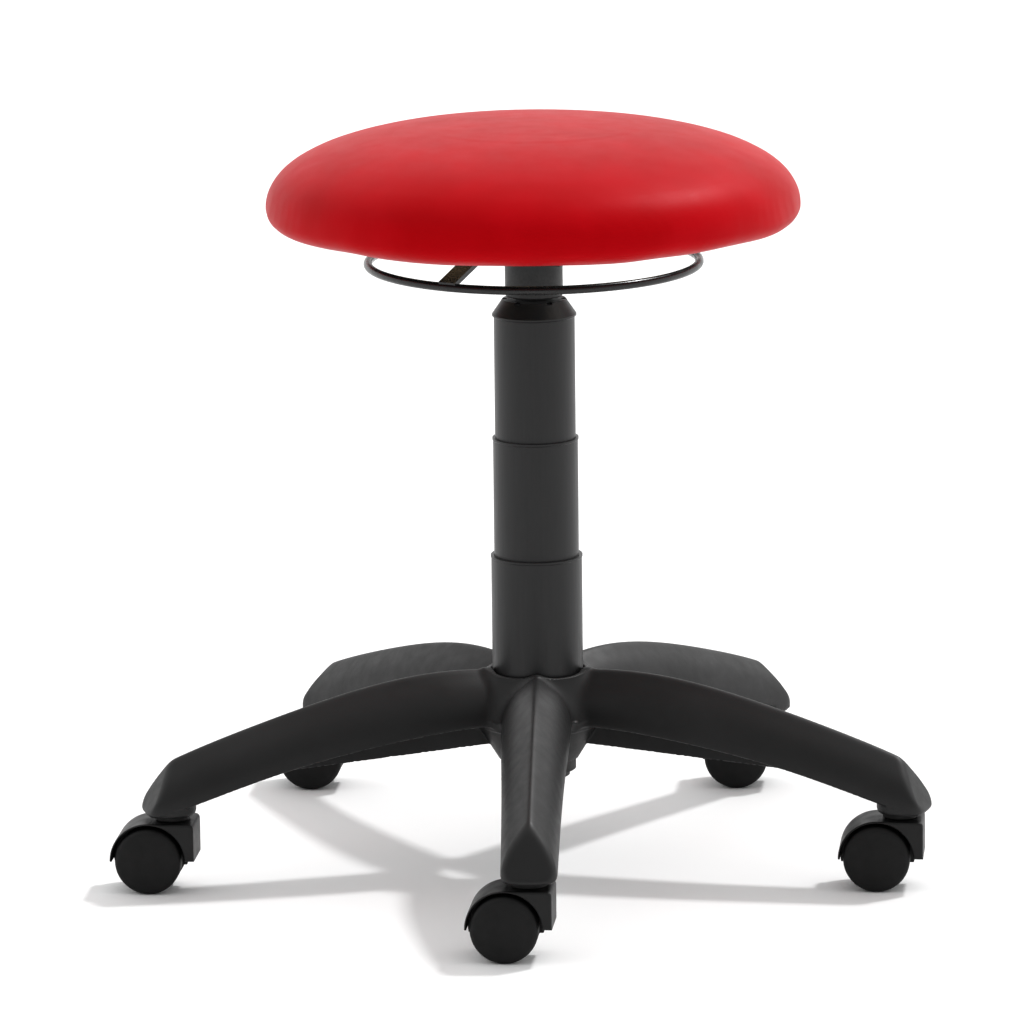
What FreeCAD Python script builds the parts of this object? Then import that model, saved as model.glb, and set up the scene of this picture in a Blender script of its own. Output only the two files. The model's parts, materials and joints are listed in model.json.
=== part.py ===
import FreeCAD, Part
import math
import os
import Sketcher

# A rolling stylist stool: round padded seat on a gas lift with telescopic covers, a ring lever
# that works the gas valve, and a five-legged nylon base on twin-wheel castors.
# Millimetres. Origin on the floor under the column, +Z up, one leg straight along -Y.

LEGS = 5
BALLS = 10
BOARD_BOLTS = 4
STAPLES = 24
CLIP_FINGERS = 6

DIMS = {
    # seat
    "seat_radius": 200, "rim_height": 502.5, "dome_rise": 64.5, "cover_skin": 1.5,
    "board_radius": 165, "board_base": 489, "board_thick": 12,
    # floor, wheels and castors
    "wheel_radius": 25, "wheel_inner_face": 8.2, "wheel_outer_face": 24, "castor_trail": 17,
    "castor_circle": 287, "castor_yaw": -4, "hood_gap": 2.5,
    "hood_half_width": 20, "hood_top": 54, "hood_back": 17.8, "stem_radius": 5.5,
    "stem_housing": 7.4, "axle_radius": 3, "running_gap": 0.06,
    # five-star base
    "hub_top": 148, "hub_floor": 118, "hub_base": 79, "recess_radius": 36.3,
    "hub_wall": 3, "hub_foot_radius": 30, "leg_skin": 3.4, "leg_end_base": 57,
    "leg_end_radius": 19, "crest_radius": 3.5, "rib_thick": 2.6,
    "insert_radius": 28.5, "insert_base": 71,
    # column, gas spring and covers
    "column_radius": 25, "column_wall": 1.5, "column_base": 66, "column_top": 285,
    "cylinder_radius": 14, "cylinder_base": 232, "cylinder_top": 468, "rod_radius": 5,
    "cover_upper_radius": 30.5, "cover_mid_radius": 32.1, "cover_lower_radius": 34.4,
    "cover_cap_top": 433.5, "seam_upper": 327.5, "seam_lower": 237, "socket_radius": 21.8,
    # seat mechanism
    "pan_floor": 470, "pan_skin": 2.5, "pan_half": 52.5, "flange_half": 75, "bolt_spacing": 120,
    "ring_radius": 124.5, "ring_wire": 3.25, "ring_height": 461.5, "bar_base": 478,
    "bar_thick": 3.5, "bar_width": 14, "bar_azimuth": -118.8,
}

# One leg's shape: distance from the column, crest height, lower edge height, half width.
LEG_SECTIONS = [
    (37, 149.2, 111.0, 26.0),
    (70, 150.4, 110.2, 26.5),
    (106, 148.0, 106.9, 26.0),
    (146, 140.8, 99.9, 24.5),
    (190, 129.4, 91.0, 23.3),
    (230, 118.2, 81.2, 22.4),
    (262, 107.6, 71.0, 21.8),
    (312, 87.5, 58.5, 21.2),
]
RIB_STATIONS = (100, 140, 180, 218)
# Lower edge of the rib along a leg's middle: distance from the column, height.
SPINE_FOOT = [(32, 92.9), (230, 82.0), (259, 73.4)]


class Size:
    """A number together with the spreadsheet expression that gives it."""

    def __init__(self, text, value):
        self.text = text
        self.value = value

    def joined(self, other, sign, value):
        return Size("(%s %s %s)" % (self.text, sign, size(other).text), value)

    def __add__(self, other):
        return self.joined(other, "+", self.value + size(other).value)

    def __sub__(self, other):
        return self.joined(other, "-", self.value - size(other).value)

    def __mul__(self, other):
        return self.joined(other, "*", self.value * size(other).value)

    def __truediv__(self, other):
        return self.joined(other, "/", self.value / size(other).value)

    def __radd__(self, other):
        return size(other) + self

    def __rsub__(self, other):
        return size(other) - self

    def __rmul__(self, other):
        return size(other) * self

    def __neg__(self):
        return Size("(-%s)" % self.text, -self.value)


def size(number):
    return number if isinstance(number, Size) else Size("(%.6f)" % number, number)


doc = FreeCAD.newDocument("stylist_stool")
sheet = doc.addObject("Spreadsheet::Sheet", "dims")
for row, (alias, number) in enumerate(DIMS.items(), start=1):
    sheet.set("A%d" % row, alias)
    sheet.set("B%d" % row, str(number))
    sheet.setAlias("B%d" % row, alias)
doc.recompute()

D = {alias: Size("dims." + alias, float(number)) for alias, number in DIMS.items()}
subparts = []


# ---------------------------------------------------------------- helpers

def new_body(label):
    """A PartDesign body that becomes one sub-part."""
    body = doc.addObject("PartDesign::Body", label)
    body.Label = label
    subparts.append(body)
    return body


def origin_plane(body, role):
    return next(item for item in body.Origin.OriginFeatures if item.Role == role)


def new_sketch(body, name, role, offset=None):
    """A sketch on one of the body's own planes, moved along the plane's normal by offset."""
    sketch = body.newObject("Sketcher::SketchObject", name)
    sketch.AttachmentSupport = [(origin_plane(body, role), "")]
    sketch.MapMode = "FlatFace"
    if offset is not None:
        sketch.setExpression(".AttachmentOffset.Base.z", size(offset).text)
    return sketch


def bind(sketch, kind, *target):
    """Add a constraint whose last argument is a Size, tied to the spreadsheet."""
    number = size(target[-1])
    index = sketch.addConstraint(Sketcher.Constraint(kind, *target[:-1], number.value))
    sketch.setExpression("Constraints[%d]" % index, number.text)


def pin_point(sketch, geometry, place, point):
    """Fix a sketch point by its two coordinates."""
    bind(sketch, "DistanceX", -1, 1, geometry, place, point[0])
    bind(sketch, "DistanceY", -1, 1, geometry, place, point[1])


def add_arc(sketch, start, end, radius):
    """Arc from start to end; a positive radius turns left, a negative one turns right."""
    sx, sy = size(start[0]).value, size(start[1]).value
    ex, ey = size(end[0]).value, size(end[1]).value
    reach = abs(radius.value)
    side = math.copysign(1, radius.value)
    half = math.hypot(ex - sx, ey - sy) / 2
    rise = math.sqrt(max(reach ** 2 - half ** 2, 0)) * side
    cx = (sx + ex) / 2 - rise * (ey - sy) / (2 * half)
    cy = (sy + ey) / 2 + rise * (ex - sx) / (2 * half)
    circle = Part.Circle(FreeCAD.Vector(cx, cy, 0), FreeCAD.Vector(0, 0, 1), reach)
    from_angle = math.atan2(sy - cy, sx - cx)
    to_angle = math.atan2(ey - cy, ex - cx)
    if side < 0:
        from_angle, to_angle = to_angle, from_angle
    return sketch.addGeometry(Part.ArcOfCircle(circle, from_angle, to_angle))


def draw_outline(sketch, steps):
    """A closed outline. Each step is (x, y), or (x, y, radius) for an arc ending there."""
    points = [(step[0], step[1]) for step in steps]
    links = []
    for number, step in enumerate(steps):
        start, end = points[number - 1], points[number]
        if len(step) == 3:
            radius = size(step[2])
            index = add_arc(sketch, start, end, radius)
            links.append((index, 1, 2) if radius.value > 0 else (index, 2, 1))
            arc_radius = radius if radius.value > 0 else -radius
            bind(sketch, "Radius", index, arc_radius)
        else:
            line = Part.LineSegment(FreeCAD.Vector(size(start[0]).value, size(start[1]).value, 0),
                                    FreeCAD.Vector(size(end[0]).value, size(end[1]).value, 0))
            links.append((sketch.addGeometry(line), 1, 2))
    for number, (index, first, last) in enumerate(links):
        following = links[(number + 1) % len(links)]
        sketch.addConstraint(Sketcher.Constraint("Coincident", index, last, following[0], following[1]))
        pin_point(sketch, index, last, points[number])


def dome_radius(run, rise):
    """Radius of an arc that reaches the axis square to it, over a run and a rise."""
    return (size(run) * run + size(rise) * rise) / (size(rise) * 2)


def draw_circle(sketch, centre, radius):
    """A circle fixed by its centre and radius."""
    middle = FreeCAD.Vector(size(centre[0]).value, size(centre[1]).value, 0)
    circle = Part.Circle(middle, FreeCAD.Vector(0, 0, 1), size(radius).value)
    index = sketch.addGeometry(circle)
    bind(sketch, "Radius", index, radius)
    pin_point(sketch, index, 3, centre)


def draw_rectangle(sketch, low, high):
    draw_outline(sketch, [(low[0], low[1]), (high[0], low[1]), (high[0], high[1]), (low[0], high[1])])


def revolve(body, sketch, cut=False, axis="V_Axis"):
    feature = body.newObject("PartDesign::Groove" if cut else "PartDesign::Revolution", sketch.Name + "_turn")
    feature.Profile = sketch
    feature.ReferenceAxis = (sketch, [axis])
    feature.Angle = 360
    sketch.Visibility = False
    return feature


def turned(label, steps):
    """A sub-part turned about its own Z axis from a half section of (radius, height) points."""
    body = new_body(label)
    sketch = new_sketch(body, label + "_section", "XZ_Plane")
    draw_outline(sketch, steps)
    revolve(body, sketch)
    return body


def pad(body, sketch, length, both_ways=False):
    feature = body.newObject("PartDesign::Pad", sketch.Name + "_pad")
    feature.Profile = sketch
    feature.Midplane = both_ways
    feature.setExpression("Length", size(length).text)
    return feature


def pocket(body, sketch, length, both_ways=False, reversed_way=False):
    feature = body.newObject("PartDesign::Pocket", sketch.Name + "_pocket")
    feature.Profile = sketch
    feature.Midplane = both_ways
    feature.Reversed = reversed_way
    feature.setExpression("Length", size(length).text)
    return feature


def around(body, features, count):
    """Repeat features evenly about the body's Z axis."""
    pattern = body.newObject("PartDesign::PolarPattern", body.Name + "_round_%d" % len(body.Group))
    pattern.Originals = features
    pattern.Axis = (features[0].Profile[0], ["V_Axis"])
    pattern.Angle = 360
    pattern.Occurrences = count
    body.Tip = pattern
    return pattern


def turned_set(label, steps, circle, count, start_angle):
    """Identical turned pieces standing on a circle, one node with separate solids."""
    body = new_body(label)
    body.AllowCompound = True
    sketch = new_sketch(body, label + "_section", "XZ_Plane")
    draw_outline(sketch, [(circle + step[0],) + tuple(step[1:]) for step in steps])
    axis_line = Part.LineSegment(FreeCAD.Vector(size(circle).value, 0, 0),
                                 FreeCAD.Vector(size(circle).value, 10, 0))
    index = sketch.addGeometry(axis_line, True)
    pin_point(sketch, index, 1, (circle, 0))
    pin_point(sketch, index, 2, (circle, 10))
    piece = revolve(body, sketch, axis="Axis0")
    around(body, [piece], count)
    body.Placement = FreeCAD.Placement(FreeCAD.Vector(), FreeCAD.Rotation(FreeCAD.Vector(0, 0, 1), start_angle))
    return body


# ---------------------------------------------------------------- five-star base

def draw_leg_section(sketch, half_width, low, crest, crest_radius):
    """A pointed arch: flat foot, two flanks that start upright, and a small round crest."""
    w, base, top, tip = half_width.value, low.value, crest.value, crest_radius.value
    depth = top - tip - base
    flank = (w ** 2 + depth ** 2 - tip ** 2) / (2 * (w - tip))
    meet = math.atan2(depth, flank - w)
    up = FreeCAD.Vector(0, 0, 1)
    foot = sketch.addGeometry(Part.LineSegment(FreeCAD.Vector(-w, base, 0), FreeCAD.Vector(w, base, 0)))
    right = sketch.addGeometry(Part.ArcOfCircle(
        Part.Circle(FreeCAD.Vector(w - flank, base, 0), up, flank), 0, meet))
    middle = sketch.addGeometry(Part.ArcOfCircle(
        Part.Circle(FreeCAD.Vector(0, top - tip, 0), up, tip), meet, math.pi - meet))
    left = sketch.addGeometry(Part.ArcOfCircle(
        Part.Circle(FreeCAD.Vector(flank - w, base, 0), up, flank), math.pi - meet, math.pi))
    pin_point(sketch, foot, 1, (-half_width, low))
    pin_point(sketch, foot, 2, (half_width, low))
    sketch.addConstraint(Sketcher.Constraint("Coincident", foot, 2, right, 1))
    sketch.addConstraint(Sketcher.Constraint("Tangent", right, 2, middle, 1))
    sketch.addConstraint(Sketcher.Constraint("Tangent", middle, 2, left, 1))
    sketch.addConstraint(Sketcher.Constraint("Coincident", left, 2, foot, 1))
    bind(sketch, "Radius", middle, crest_radius)
    pin_point(sketch, middle, 3, (0, crest - crest_radius))
    bind(sketch, "DistanceY", -1, 1, right, 3, low)
    bind(sketch, "DistanceY", -1, 1, left, 3, low)


def leg_section(body, name, station, crest, low, half_width, inset):
    """One cross-section of a leg, moved in from the outer skin by inset."""
    sketch = new_sketch(body, name, "XZ_Plane", station)
    drop = 1.35 * inset
    draw_leg_section(sketch, size(half_width) - inset, size(low) - inset * 0.5,
                     size(crest) - drop, D["crest_radius"])
    return sketch


def leg_loft(body, kind, name, stations, inset):
    sketches = [leg_section(body, "%s_%d" % (name, number), *station, inset)
                for number, station in enumerate(stations)]
    loft = body.newObject("PartDesign::" + kind, name)
    loft.Profile = sketches[0]
    loft.Sections = sketches[1:]
    return loft


def between(station):
    """Leg section values part way along, by straight lines between the listed sections."""
    for near, far in zip(LEG_SECTIONS, LEG_SECTIONS[1:]):
        if near[0] <= station <= far[0]:
            part = (station - near[0]) / (far[0] - near[0])
            return (station,) + tuple(a + (b - a) * part for a, b in zip(near[1:], far[1:]))


def star_base():
    body = new_body("star_base")
    hub = new_sketch(body, "hub_section", "XZ_Plane")
    foot, rim = D["hub_foot_radius"], D["recess_radius"] + D["hub_wall"]
    draw_outline(hub, [(20, D["hub_base"]), (foot, D["hub_base"]), (foot + 8, 92), (50, 108),
                       (rim, D["hub_top"], -70), (20, D["hub_top"])])
    revolve(body, hub)

    legs = leg_loft(body, "AdditiveLoft", "leg_skin_loft", LEG_SECTIONS, size(0))

    ends = new_sketch(body, "leg_end_plan", "XY_Plane", D["leg_end_base"])
    draw_circle(ends, (0, -D["castor_circle"]), D["leg_end_radius"])
    leg_end = pad(body, ends, 24)

    hollow_stations = [between(62)] + LEG_SECTIONS[1:5] + [between(256)]
    hollow = leg_loft(body, "SubtractiveLoft", "leg_hollow_loft", hollow_stations, D["leg_skin"])

    ribs = []
    for station in RIB_STATIONS:
        section = leg_section(body, "cross_rib_%d" % station, *between(station), D["leg_skin"] * 0.6)
        ribs.append(pad(body, section, D["rib_thick"], both_ways=True))
    spine = new_sketch(body, "spine_rib_side", "YZ_Plane")
    stations = [between(59)] + LEG_SECTIONS[1:-2] + [between(259)]
    draw_outline(spine, [(-SPINE_FOOT[0][0], 114)]
                 + [(-reach, crest - 2.2) for reach, crest, low, half in stations]
                 + [(-reach, height) for reach, height in reversed(SPINE_FOOT)])
    ribs.append(pad(body, spine, D["rib_thick"], both_ways=True))

    tip = new_sketch(body, "leg_tip_side", "YZ_Plane")
    draw_outline(tip, [(-289, 98.9), (-330, 98.9), (-330, 50), (-314.8, 50)])
    tip_cut = pocket(body, tip, 80, both_ways=True)

    corners = new_sketch(body, "leg_tip_corners", "XY_Plane", 40)
    far, wide, round_off = D["castor_circle"] + 22.6, size(23), size(15)
    for side in (-1, 1):
        draw_outline(corners, [(side * wide, -far + round_off, side * round_off),
                               (side * (wide + 9), -far + round_off), (side * (wide + 9), -far - 9),
                               (side * (wide - round_off), -far - 9), (side * (wide - round_off), -far)])
    corner_cut = pocket(body, corners, 80, reversed_way=True)

    socket = new_sketch(body, "castor_socket_plan", "XY_Plane", D["leg_end_base"])
    draw_circle(socket, (0, -D["castor_circle"]), 7)
    socket_cut = pocket(body, socket, 31, reversed_way=True)
    doc.recompute()

    pattern = body.newObject("PartDesign::PolarPattern", "legs_round")
    pattern.Originals = [legs, leg_end, hollow] + ribs + [tip_cut, corner_cut, socket_cut]
    pattern.Axis = (ends, ["N_Axis"])
    pattern.Angle = 360
    pattern.Occurrences = LEGS
    body.Tip = pattern
    doc.recompute()

    bore = new_sketch(body, "hub_bore_section", "XZ_Plane")
    inner, mouth = D["insert_radius"], D["recess_radius"]
    draw_outline(bore, [(0, 60), (inner, 60), (inner, D["hub_floor"]), (mouth, D["hub_floor"]),
                        (mouth, 160), (0, 160)])
    revolve(body, bore, cut=True)
    return body


def column_foot_taper(height):
    """Radius of the column's tapered foot at a height."""
    low, high = D["column_base"], D["hub_floor"]
    return D["column_radius"] - (high - height) * (1.3 / (high.value - low.value))


def base_metal():
    """Steel insert in the hub, steel sleeves in the leg ends."""
    outer, base, top = D["insert_radius"], D["insert_base"], D["hub_floor"] - 2
    turned("hub_insert", [(column_foot_taper(base), base), (outer, base), (outer, top),
                          (column_foot_taper(top), top)])
    turned_set("stem_sleeves", [(D["stem_radius"], D["leg_end_base"]), (7, D["leg_end_base"]),
                                (7, 78), (D["stem_radius"], 78)], D["castor_circle"], LEGS, -90)


# ---------------------------------------------------------------- castors

def castor_stems():
    """Fixed steel stems with a thrust collar; the castor hoods turn on them."""
    r = D["stem_radius"]
    turned_set("castor_stems", [(0, 30), (r - 0.5, 30), (r, 30.5), (r, 54.5), (13, 54.5),
                                (13, D["leg_end_base"]), (r, D["leg_end_base"]), (r, 79), (r - 1, 79),
                                (r - 1, 80.5), (r, 80.5), (r, 85), (r - 1, 86), (0, 86)],
               D["castor_circle"], LEGS, -90)
    turned_set("grip_rings", [(r - 1, 79), (r + 0.9, 79), (r + 0.9, 80.5), (r - 1, 80.5)],
               D["castor_circle"], LEGS, -90)


def castor_place(number):
    """Stem axis on the floor; the castor trails towards -X, turned by the yaw angle."""
    angle = math.radians(-90 + 360 / LEGS * (number - 1))
    reach = D["castor_circle"].value
    spot = FreeCAD.Vector(reach * math.cos(angle), reach * math.sin(angle), 0)
    return FreeCAD.Placement(spot, FreeCAD.Rotation(FreeCAD.Vector(0, 0, 1), D["castor_yaw"].value))


def castor_hood(number):
    body = new_body("castor_%d_hood" % number)
    trail, axle_height = D["castor_trail"], D["wheel_radius"]
    inner = D["wheel_radius"] + D["hood_gap"]
    outer = D["hood_top"] - axle_height
    back, top = D["hood_back"], D["hood_top"]

    fender = new_sketch(body, body.Name + "_fender", "XZ_Plane")
    draw_outline(fender, [(-trail - outer, axle_height, outer), (-trail - inner, axle_height),
                          (-trail, axle_height + inner, -inner), (inner - trail, axle_height, -inner),
                          (14, 23.5), (back, 27.5), (back, top - 3), (back - 3, top, 3),
                          (-trail, top)])
    pad(body, fender, D["hood_half_width"] * 2, both_ways=True)

    web = new_sketch(body, body.Name + "_web", "XZ_Plane")
    draw_outline(web, [(-trail - inner - 0.7, axle_height + 3), (-trail - 7, axle_height - 6),
                       (-trail + 7, axle_height - 6, 9.5), (inner - trail + 0.7, axle_height + 3),
                       (-trail, axle_height + inner + 0.7, inner + 0.7), ])
    pad(body, web, 5, both_ways=True)

    housing = new_sketch(body, body.Name + "_housing", "XY_Plane", 27)
    draw_circle(housing, (0, 0), D["stem_housing"])
    pad(body, housing, top - 28)

    bore = new_sketch(body, body.Name + "_bore", "XY_Plane", 29)
    draw_circle(bore, (0, 0), D["stem_radius"] + D["running_gap"])
    pocket(body, bore, 40, reversed_way=True)

    axle_hole = new_sketch(body, body.Name + "_axle_hole", "XZ_Plane")
    draw_circle(axle_hole, (-trail, axle_height), D["axle_radius"])
    pocket(body, axle_hole, 30, both_ways=True)
    body.Placement = castor_place(number)


def castor_axle(number):
    body = new_body("castor_%d_axle" % number)
    section = new_sketch(body, body.Name + "_end", "XZ_Plane")
    draw_circle(section, (-D["castor_trail"], D["wheel_radius"]), D["axle_radius"])
    pad(body, section, 38, both_ways=True)
    body.Placement = castor_place(number)


def castor_wheel(number, side, direction):
    """A hollow-backed wheel with a domed face; direction is -1 for the near wheel, 1 for the far."""
    body = new_body("castor_%d_wheel_%s" % (number, side))
    tread, inner, outer = D["wheel_radius"], D["wheel_inner_face"], D["wheel_outer_face"]
    bore = D["axle_radius"] + D["running_gap"]
    shoulder, sag = tread - 3.4, size(1.8)
    section = new_sketch(body, body.Name + "_section", "XZ_Plane")
    draw_outline(section, [(bore, inner), (7, inner), (7, inner + 9), (21, inner + 9), (21.6, inner),
                           (tread - 0.6, inner), (tread, inner + 0.6, 0.6), (tread, outer - 6),
                           (shoulder, outer - sag, 4.2), (0, outer, dome_radius(shoulder, sag)),
                           (0, outer - 3.4), (bore, outer - 3.4)])
    revolve(body, section)
    lean = FreeCAD.Rotation(FreeCAD.Vector(1, 0, 0), -90 * direction)
    axle = FreeCAD.Placement(FreeCAD.Vector(-D["castor_trail"].value, 0, tread.value), lean)
    body.Placement = castor_place(number) * axle


# ---------------------------------------------------------------- column and gas spring

def column():
    outer, wall = D["column_radius"], D["column_wall"]
    foot, top = D["column_base"], D["column_top"]
    foot_outer, neck_outer = column_foot_taper(foot), column_foot_taper(D["hub_floor"])
    inner_foot = foot_outer - wall
    turned("column_tube", [(inner_foot - 0.3, foot), (foot_outer, foot), (neck_outer, D["hub_floor"]),
                           (outer, top), (outer - wall, top), (outer - wall, 120), (inner_foot, 75),
                           (4.5, 75), (4.5, 72), (inner_foot - 0.3, 72)])
    gap = D["cylinder_radius"] + D["running_gap"]
    turned("guide_bush", [(gap, 225), (outer - wall, 225), (outer - wall, top), (outer - 0.3, top),
                          (outer - 0.3, top + 2), (gap, top + 2)])


def thrust_bearing():
    """Ball race on the column's floor that carries the rod, so the seat can spin."""
    turned("lower_race", [(4.1, 75), (15, 75), (15, 77), (4.1, 77)])
    turned("upper_race", [(4, 81), (15, 81), (15, 83), (4, 83)])
    cage = new_body("ball_cage")
    ring = new_sketch(cage, "ball_cage_section", "XZ_Plane")
    draw_rectangle(ring, (5.5, 78.3), (13, 79.7))
    revolve(cage, ring)
    hole = new_sketch(cage, "ball_cage_hole", "XY_Plane", 76)
    draw_circle(hole, (9.5, 0), 2.1)
    cut = pocket(cage, hole, 8, reversed_way=True)
    pattern = cage.newObject("PartDesign::PolarPattern", "ball_cage_round")
    pattern.Originals = [cut]
    pattern.Axis = (hole, ["N_Axis"])
    pattern.Angle = 360
    pattern.Occurrences = BALLS
    cage.Tip = pattern
    turned_set("bearing_balls", [(0, 77), (2, 79, 2), (0, 81, 2)], size(9.5), BALLS, 0)


def gas_spring():
    r, base, top = D["cylinder_radius"], D["cylinder_base"], D["cylinder_top"]
    rod, bore = D["rod_radius"], D["cylinder_radius"] - 1.2
    turned("gas_cylinder", [(bore, base), (r, base), (r, 436), (r - 0.8, top), (8, top), (8, 444),
                            (bore, 438)])
    turned("cylinder_gland", [(rod + D["running_gap"], base), (bore, base), (bore, base + 10),
                              (rod + D["running_gap"], base + 10)])
    turned("gland_seal", [(rod + D["running_gap"], base + 10), (bore, base + 10), (bore, base + 14),
                          (rod + D["running_gap"], base + 14)])
    turned("piston_rod", [(0, D["column_base"]), (rod - 1, D["column_base"]), (rod - 1, 68.6), (3.3, 68.6),
                          (3.3, 70), (rod - 1, 70), (rod - 1, 83), (rod, 83), (rod, base + 18),
                          (rod - 1, base + 18), (rod - 1, base + 28), (0, base + 28)])
    turned("piston", [(rod - 1, base + 18), (bore - 0.06, base + 18), (bore - 0.06, base + 20),
                      (bore - 1.5, base + 20), (bore - 1.5, base + 23), (bore - 0.06, base + 23),
                      (bore - 0.06, base + 27), (rod - 1, base + 27)])
    turned("piston_seal", [(bore - 1.5, base + 20), (bore - 0.02, base + 20), (bore - 0.02, base + 23),
                           (bore - 1.5, base + 23)])
    turned("rod_bumper", [(rod, 84), (12, 84), (12, 98), (10, 100), (rod, 100)])
    turned("rod_washer", [(rod - 1, 70), (10, 70), (10, 71.9), (rod - 1, 71.9)])
    turned("rod_clip", [(3.3, 68.6), (6.5, 68.6), (6.5, 70), (3.3, 70)])
    turned("valve_body", [(0, 440), (8, 440.5), (8, top), (3.06, top), (3.06, 442.5), (0, 442.5)])
    turned("valve_pin", [(0, 446), (2.6, 446), (3, 446.4), (3, 474.95), (0, 477.95, 3)])


def telescopic_covers():
    """Three nested plastic tubes; each has an outer bead that hooks under the next one's lip."""
    upper, middle, lower = D["cover_upper_radius"], D["cover_mid_radius"], D["cover_lower_radius"]
    top, seam_up, seam_low = D["cover_cap_top"], D["seam_upper"], D["seam_lower"]
    grip = D["cylinder_radius"]
    body = turned("cover_upper", [
        (upper - 1.6, seam_up - 12.5), (upper + 0.4, seam_up - 12.5), (upper + 0.4, seam_up - 10),
        (upper, seam_up - 9), (upper, top - 13.5), (upper + 1.3, top - 12.5), (upper + 1.3, top - 11.3),
        (24, top), (grip, top), (grip, top - 2.5), (22.6, top - 2.5), (upper - 1.6, top - 13)])
    notch = new_sketch(body, "cover_upper_notch", "XY_Plane", top - 1.4)
    draw_rectangle(notch, (20.6, -2.2), (26, 2.2))
    cut = pocket(body, notch, 5, reversed_way=True)
    doc.recompute()
    pattern = body.newObject("PartDesign::PolarPattern", "cover_upper_round")
    pattern.Originals = [cut]
    pattern.Axis = (notch, ["N_Axis"])
    pattern.Angle = 360
    pattern.Occurrences = CLIP_FINGERS
    body.Tip = pattern
    turned("cover_middle", [
        (middle - 1.1, seam_low - 12), (middle + 0.4, seam_low - 12), (middle + 0.4, seam_low - 9.5),
        (middle, seam_low - 8.5), (middle, seam_up - 2), (middle + 0.5, seam_up - 1.4),
        (middle + 0.5, seam_up), (upper + 0.1, seam_up), (upper + 0.1, seam_up - 2), (middle - 1.1, seam_up - 3)])
    foot = D["hub_floor"]
    turned("cover_lower", [
        (lower - 1.8, foot), (D["recess_radius"] - 0.2, foot), (D["recess_radius"] - 0.2, foot + 3),
        (lower, foot + 5), (lower, seam_low - 2), (lower + 0.4, seam_low - 1.4), (lower + 0.4, seam_low),
        (middle + 0.1, seam_low), (middle + 0.1, seam_low - 2), (lower - 1.8, seam_low - 3)])


# ---------------------------------------------------------------- seat mechanism

def pan_placement():
    return FreeCAD.Placement(FreeCAD.Vector(),
                             FreeCAD.Rotation(FreeCAD.Vector(0, 0, 1), D["bar_azimuth"].value))


def mount_pan():
    """Pressed steel hat under the seat board; the lever bar passes through a slot in two walls."""
    body = new_body("mount_pan")
    half, skin, floor = D["pan_half"], D["pan_skin"], D["pan_floor"]
    hat = new_sketch(body, "pan_plan", "XY_Plane", floor)
    draw_rectangle(hat, (-half, -half), (half, half))
    pad(body, hat, D["board_base"] - floor)
    flange = new_sketch(body, "pan_flange_plan", "XY_Plane", D["board_base"] - skin)
    edge = D["flange_half"]
    draw_rectangle(flange, (-edge, -edge), (edge, edge))
    pad(body, flange, skin)
    well = new_sketch(body, "pan_well_plan", "XY_Plane", floor + skin)
    draw_rectangle(well, (skin - half, skin - half), (half - skin, half - skin))
    pocket(body, well, 30, reversed_way=True)
    slot = new_sketch(body, "pan_slot_side", "YZ_Plane")
    reach = D["bar_width"] / 2 + 0.5
    draw_rectangle(slot, (-reach, floor + skin), (reach, D["bar_base"] + D["bar_thick"] + 0.1))
    pocket(body, slot, 2 * half + 10, both_ways=True)
    eye = new_sketch(body, "pan_eye_plan", "XY_Plane", floor - 1)
    draw_circle(eye, (0, 0), 8)
    pocket(body, eye, 5, reversed_way=True)
    holes = new_sketch(body, "pan_bolt_plan", "XY_Plane", floor)
    span = D["bolt_spacing"] / 2
    for x_sign in (-1, 1):
        for y_sign in (-1, 1):
            draw_circle(holes, (x_sign * span, y_sign * span), 3.25)
    pocket(body, holes, 30, reversed_way=True)
    body.Placement = pan_placement()
    top = D["cylinder_top"]
    turned("taper_socket", [(14, 436), (D["socket_radius"] - 0.8, 436), (D["socket_radius"], 437),
                            (D["socket_radius"], floor), (13.2, floor), (13.2, top)])


def release_lever():
    """Wire ring and the cranked flat bar that crosses the pan above the valve pin."""
    ring = doc.addObject("Part::Torus", "release_ring")
    ring.Label = "release_ring"
    ring.setExpression("Radius1", D["ring_radius"].text)
    ring.setExpression("Radius2", D["ring_wire"].text)
    ring.setExpression(".Placement.Base.z", D["ring_height"].text)
    subparts.append(ring)

    body = new_body("release_bar")
    low, thick = D["bar_base"], D["bar_thick"]
    side = new_sketch(body, "release_bar_side", "XZ_Plane")
    bend, reach = size(80), D["ring_radius"] + 1.5
    end = D["ring_height"] + 0.6
    draw_outline(side, [(-bend, low), (bend, low), (reach, end), (reach + 1.3, end + thick),
                        (bend + 1, low + thick), (-bend - 1, low + thick), (-reach - 1.3, end + thick),
                        (-reach, end)])
    pad(body, side, D["bar_width"], both_ways=True)
    seat = new_sketch(body, "release_bar_weld", "XZ_Plane")
    draw_circle(seat, (D["ring_radius"], D["ring_height"]), D["ring_wire"])
    revolve(body, seat, cut=True)
    body.Placement = pan_placement()


# ---------------------------------------------------------------- seat

def seat_board():
    body = new_body("seat_board")
    base, thick, radius = D["board_base"], D["board_thick"], D["board_radius"]
    disc = new_sketch(body, "board_section", "XZ_Plane")
    draw_outline(disc, [(0, base), (radius - 3, base), (radius, base + 3, 3), (radius, base + thick - 3),
                        (radius - 3, base + thick, 3), (0, base + thick)])
    revolve(body, disc)
    for name, radius, depth in (("barrel", 4, thick), ("flange", 9.6, size(1.6))):
        holes = new_sketch(body, "board_%s_holes" % name, "XY_Plane", base + thick - depth)
        span = D["bolt_spacing"] / 2
        for x_sign in (-1, 1):
            for y_sign in (-1, 1):
                draw_circle(holes, (x_sign * span, y_sign * span), radius)
        pocket(body, holes, depth, reversed_way=True)
    body.Placement = pan_placement()


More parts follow.
